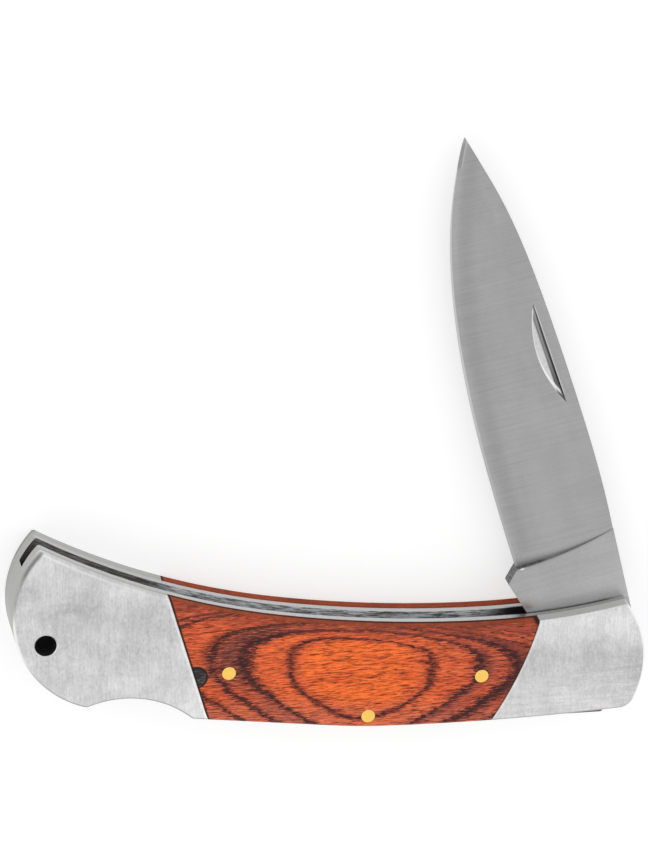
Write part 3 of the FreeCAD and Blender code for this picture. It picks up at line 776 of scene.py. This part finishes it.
    # Layers beside the slot and on the walls, dark joint lines at the seams and along the liners
    # deepened with painted shade, and painted shade in the gap at the upper front corner
    layers = finish.noise(place, (0.1, 2.6, 3.0), 3.0, 0.65)
    beside_slot = 1.0 - finish.step(slot_line(along) - across, 0.3, 3.4)
    stripes = 0.2 + 0.6 * finish.step(layers, 0.4, 0.6)
    figure = finish.mix(beside_slot * stripes, figure, tone(124, 58, 46))
    side = finish.shaded(finish.mix(0.6, figure, tuple(settings.side)), 0.55 + 0.9 * layers)
    colour = finish.mix(face, side, figure)
    rear_seam = 1.0 - finish.step(along - rear_line(across), 0.26, 0.5)
    front_seam = 1.0 - finish.step(front_line(across) - along, 0.18, 0.42)
    joint = 1.0 - finish.step(abs(level - MID_LEVEL), 3.45, 3.8)
    joint = (0.25 + 0.6 * finish.step(level, 5.0, 6.0)) * joint
    corner_gap_shade = 1.0 - finish.step(finish.away(along, across, CORNER_GAP), 0.35, 0.9)
    edges = (0.9 * rear_seam).at_least(0.4 * front_seam).at_least(joint).at_least(0.9 * corner_gap_shade)
    colour = finish.mix(edges, colour, tone(34, 20, 20))
    height = 0.6 * grain + 0.4 * pore
    rough = 0.46 + 0.2 * (grain - 0.5) + 0.1 * dash + 0.4 * (1.0 - face)
    return finish.surface(height, 0.012, Base_Color=colour, Metallic=0.0, Roughness=rough,
                          Coat_Weight=0.04, Coat_Roughness=0.3, Specular_IOR_Level=0.16)


class KNIFE_OT_finish_scales(bpy.types.Operator):
    """Give the scales their laminated wood"""

    bl_idname = "knife.finish_scales"
    bl_label = "Finish Scales"

    def execute(self, context):
        dress(SCALES, scale_wood(context.scene.knife_wood))
        return {"FINISHED"}


# Brass pins

PIN_SIDES = 72


def pin_brass(settings):
    finish = new_finish("pin_polished_brass")
    place = finish.place()
    _, _, facing_up = finish.facing()
    rim = 1.0 - finish.step(abs(facing_up), 0.9, 0.99)
    fine = finish.noise(place, (7.0, 1.2, 1.0), 3.0, 0.6)
    cloud = finish.noise(place, (1.2, 1.2, 0.5), 2.0, 0.5)
    colour = finish.shaded(tuple(settings.brass), 1.0 + 0.12 * (fine - 0.5) + 0.2 * (cloud - 0.5))
    # Painted highlight on the bevelled rim of each head
    colour = finish.mix(0.6 * rim, colour, tone(255, 226, 140))
    return finish.surface(fine, 0.003, Base_Color=colour, Metallic=1.0,
                          Roughness=0.32 + 0.1 * (fine - 0.5))


def model_pin(name, rim):
    """A pin with narrow rims, in the place of its frame node."""
    low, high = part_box(name)
    radius = (high.x - low.x) / 2
    bpy.ops.object.select_all(action="DESELECT")
    bpy.ops.mesh.primitive_cylinder_add(
        vertices=PIN_SIDES, radius=radius, depth=high.z - low.z, location=(low + high) / 2)
    pin = bpy.context.active_object
    pin.name = f"{name}_head"
    bpy.ops.object.transform_apply(location=True, rotation=True, scale=True)
    bpy.ops.object.mode_set(mode="EDIT")
    bpy.ops.mesh.select_mode(type="EDGE")
    bpy.ops.mesh.select_all(action="DESELECT")
    bpy.ops.mesh.edges_select_sharp(sharpness=math.radians(60))
    bpy.ops.mesh.bevel(offset=rim, segments=2, profile=0.5)
    bpy.ops.object.mode_set(mode="OBJECT")
    bpy.ops.object.shade_smooth_by_angle(angle=math.radians(15))
    return pin


def copy_pin(source, source_name, name):
    """A like pin in the place of another frame node."""
    bpy.ops.object.select_all(action="DESELECT")
    source.select_set(True)
    bpy.context.view_layer.objects.active = source
    bpy.ops.object.duplicate(linked=False)
    pin = bpy.context.active_object
    pin.name = f"{name}_head"
    bpy.ops.transform.translate(value=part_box(name)[0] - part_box(source_name)[0])
    bpy.ops.object.transform_apply(location=True, rotation=True, scale=True)
    return pin


class KNIFE_OT_finish_pins(bpy.types.Operator):
    """Model the brass pins and give them their polish"""

    bl_idname = "knife.finish_pins"
    bl_label = "Finish Pins"

    def execute(self, context):
        settings = context.scene.knife_pins
        material = pin_brass(settings)
        first = SCALE_PINS[0]
        pins = {name: model_pin(name, settings.rim) for name in ("rocker_pin", first)}
        for name in SCALE_PINS[1:]:
            pins[name] = copy_pin(pins[first], first, name)
        for name, pin in pins.items():
            pin.data.materials.clear()
            pin.data.materials.append(material)
            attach(pin, "handle")
            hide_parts(name)
        return {"FINISHED"}


# Stage, in metres

FLOOR_LEVEL = -0.00005
KEY_WIDTH = 1.4
KEY_PLACE = (-0.35, -0.25, 1.3)
SIDE_WIDTH = 0.7
SIDE_PLACE = (0.9, 0.1, 0.7)
SENSOR_MILLIMETRES = 36.0


def floor_paint(settings):
    finish = new_finish("stage_floor")
    glow = finish.mix(finish.seen(), (0.0, 0.0, 0.0), (settings.floor_glow,) * 3)
    return finish.surface(Base_Color=(*settings.floor, 1.0), Roughness=0.9,
                          Specular_IOR_Level=0.0, Emission_Color=glow, Emission_Strength=1.0)


def world_light(settings):
    finish = Finish(bpy.data.worlds.new("stage_light"))
    return finish.backdrop(finish.mix(finish.seen(), (settings.sky,) * 3, (1.0, 1.0, 1.0)))


def soft_light(name, power, width, location, target):
    data = bpy.data.lights.new(name, "AREA")
    data.energy = power
    data.shape = "SQUARE"
    data.size = width
    light = bpy.data.objects.new(name, data)
    bpy.context.scene.collection.objects.link(light)
    light.location = location
    light.rotation_euler = (Vector(target) - Vector(location)).to_track_quat("-Z", "Y").to_euler()
    light.visible_camera = False
    light.visible_glossy = False


class KNIFE_OT_set_stage(bpy.types.Operator):
    """Set the floor, the light and the camera"""

    bl_idname = "knife.set_stage"
    bl_label = "Set Stage"

    def execute(self, context):
        settings = context.scene.knife_stage
        bpy.ops.object.select_all(action="DESELECT")
        bpy.ops.mesh.primitive_plane_add(size=settings.floor_side, location=(0, 0, FLOOR_LEVEL))
        floor = context.active_object
        floor.name = "stage_floor"
        bpy.ops.object.transform_apply(location=True, rotation=True, scale=True)
        floor.data.materials.append(floor_paint(settings))
        context.scene.world = world_light(settings)
        target = Vector(settings.target)
        soft_light("stage_key", settings.key, KEY_WIDTH, KEY_PLACE, target)
        soft_light("stage_side", settings.side, SIDE_WIDTH, SIDE_PLACE, target)

        data = bpy.data.cameras.new("stage_camera")
        data.lens = settings.lens
        data.sensor_width = SENSOR_MILLIMETRES
        camera = bpy.data.objects.new("stage_camera", data)
        context.scene.collection.objects.link(camera)
        turn, lift = settings.azimuth, settings.elevation
        level = math.cos(lift)
        back = Vector((-math.sin(turn) * level, math.sin(lift), math.cos(turn) * level))
        right = Vector((math.cos(turn), 0.0, math.sin(turn)))
        upward = back.cross(right)
        turned = Matrix((right, upward, back)).transposed().to_4x4()
        camera.matrix_world = Matrix.Translation(target + back * settings.distance) @ turned
        context.scene.camera = camera
        context.scene.view_settings.view_transform = "Standard"
        return {"FINISHED"}


OPERATORS = (
    KNIFE_OT_finish_blade,
    KNIFE_OT_finish_bolsters,
    KNIFE_OT_finish_liners,
    KNIFE_OT_finish_lock,
    KNIFE_OT_finish_scales,
    KNIFE_OT_finish_pins,
    KNIFE_OT_set_stage,
)


class KNIFE_PT_finish(bpy.types.Panel):
    """Finishes of the knife"""

    bl_idname = "KNIFE_PT_finish"
    bl_label = "Pocket Knife"
    bl_space_type = "VIEW_3D"
    bl_region_type = "UI"
    bl_category = "Knife"

    def draw(self, context):
        for operator in OPERATORS:
            self.layout.operator(operator.bl_idname)
        for name, group in SETTINGS.items():
            box = self.layout.box()
            for prop in group.__annotations__:
                box.prop(getattr(context.scene, name), prop)


CLASSES = (*SETTINGS.values(), *OPERATORS, KNIFE_PT_finish)


def register():
    for item in CLASSES:
        bpy.utils.register_class(item)
    for name, group in SETTINGS.items():
        setattr(bpy.types.Scene, name, PointerProperty(type=group))


def unregister():
    for name in SETTINGS:
        delattr(bpy.types.Scene, name)
    for item in reversed(CLASSES):
        bpy.utils.unregister_class(item)


def main():
    register()
    bpy.ops.knife.finish_blade()
    bpy.ops.knife.finish_bolsters()
    bpy.ops.knife.finish_liners()
    bpy.ops.knife.finish_lock()
    bpy.ops.knife.finish_scales()
    bpy.ops.knife.finish_pins()
    bpy.ops.knife.set_stage()


if __name__ == "__main__":
    main()
